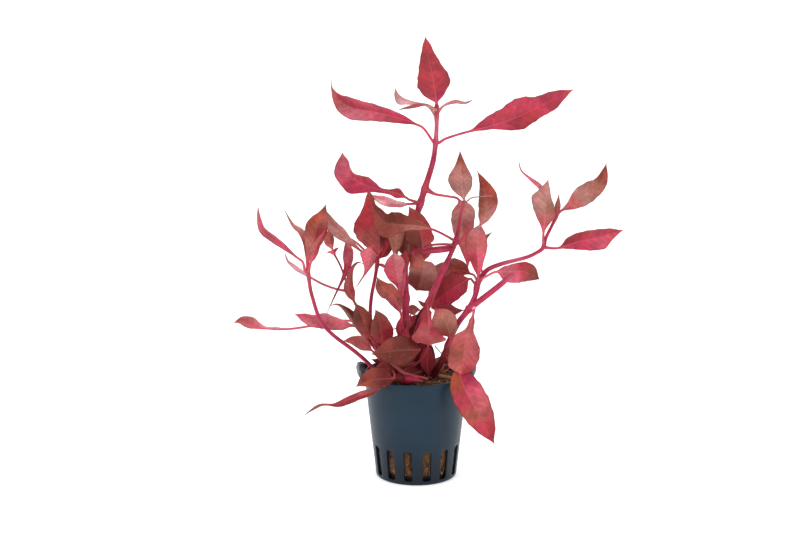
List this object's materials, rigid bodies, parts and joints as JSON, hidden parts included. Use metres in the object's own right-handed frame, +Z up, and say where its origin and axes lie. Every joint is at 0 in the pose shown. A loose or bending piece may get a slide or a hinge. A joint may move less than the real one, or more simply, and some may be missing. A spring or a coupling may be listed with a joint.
{
  "type": "alternanthera reineckii, red aquarium stem plant in a net pot",
  "caption": "Red aquarium stem plant with slender pointed leaves in opposite pairs, rooted in mineral wool in a slotted round plastic pot that stands it up.",
  "frame": {"origin": "centre of the pot's flat foot, on the surface it stands on", "axes": "+Z up along the pot's axis, +X to the right and -Y towards the viewer as the plant is pictured"},
  "size_m": [0.1806, 0.0578, 0.2098],
  "materials": {
    "pot_plastic": "satin",
    "mineral_wool": "rough",
    "stem": "satin",
    "brown_leaf": "satin",
    "crimson_leaf": "satin",
    "dark_leaf": "satin",
    "mauve_leaf": "satin",
    "pink_leaf": "satin",
    "rose_leaf": "satin",
    "salmon_leaf": "satin"
  },
  "bodies": {
    "root": {"pot": "pot_plastic", "wool_plug": "mineral_wool", "main_stem": "stem", "left_outer_stem": "stem", "left_inner_stem": "stem", "left_back_stem": "stem", "centre_right_stem": "stem", "right_stem": "stem", "crown_front_leaf": "crimson_leaf", "crown_left_leaf": "crimson_leaf", "crown_right_leaf": "crimson_leaf", "crown_back_left_leaf": "mauve_leaf", "crown_back_right_leaf": "mauve_leaf", "crown_young_leaf": "dark_leaf", "shoulder_left_leaf": "crimson_leaf", "shoulder_left_back_leaf": "mauve_leaf", "hanging_right_leaf": "mauve_leaf", "right_shoot_upright_leaf": "mauve_leaf", "right_shoot_side_leaf": "brown_leaf", "canopy_brown_leaf": "brown_leaf", "canopy_back_leaf": "brown_leaf", "centre_pink_leaf": "pink_leaf", "centre_left_leaf": "brown_leaf", "centre_back_leaf": "brown_leaf", "centre_top_leaf": "brown_leaf", "inner_right_leaf": "dark_leaf", "inner_right_upper_leaf": "dark_leaf", "hanging_front_leaf": "pink_leaf", "round_front_leaf": "brown_leaf", "right_upright_leaf": "mauve_leaf", "right_hidden_leaf": "mauve_leaf", "right_low_leaf": "crimson_leaf", "right_front_leaf": "salmon_leaf", "right_rim_leaf": "rose_leaf", "far_right_upright_leaf": "mauve_leaf", "far_right_edge_leaf": "mauve_leaf", "far_right_top_leaf": "salmon_leaf", "far_right_low_leaf": "crimson_leaf", "left_round_leaf": "dark_leaf", "left_hanging_leaf": "rose_leaf", "left_diagonal_leaf": "mauve_leaf", "left_twisted_leaf": "crimson_leaf", "left_small_leaf": "brown_leaf", "outer_left_big_leaf": "brown_leaf", "outer_left_front_leaf": "brown_leaf", "outer_left_tail_leaf": "brown_leaf", "outer_left_long_leaf": "crimson_leaf", "outer_left_thin_leaf": "mauve_leaf", "left_hooked_leaf": "brown_leaf", "left_dark_outer_leaf": "dark_leaf", "left_dark_middle_leaf": "dark_leaf", "left_dark_inner_leaf": "brown_leaf", "left_low_leaf": "brown_leaf", "left_salmon_leaf": "salmon_leaf", "far_left_leaf": "salmon_leaf", "left_rim_leaf": "dark_leaf", "left_trailing_leaf": "crimson_leaf", "front_rim_leaf": "crimson_leaf", "front_big_leaf": "brown_leaf"}
  },
  "joints": []
}
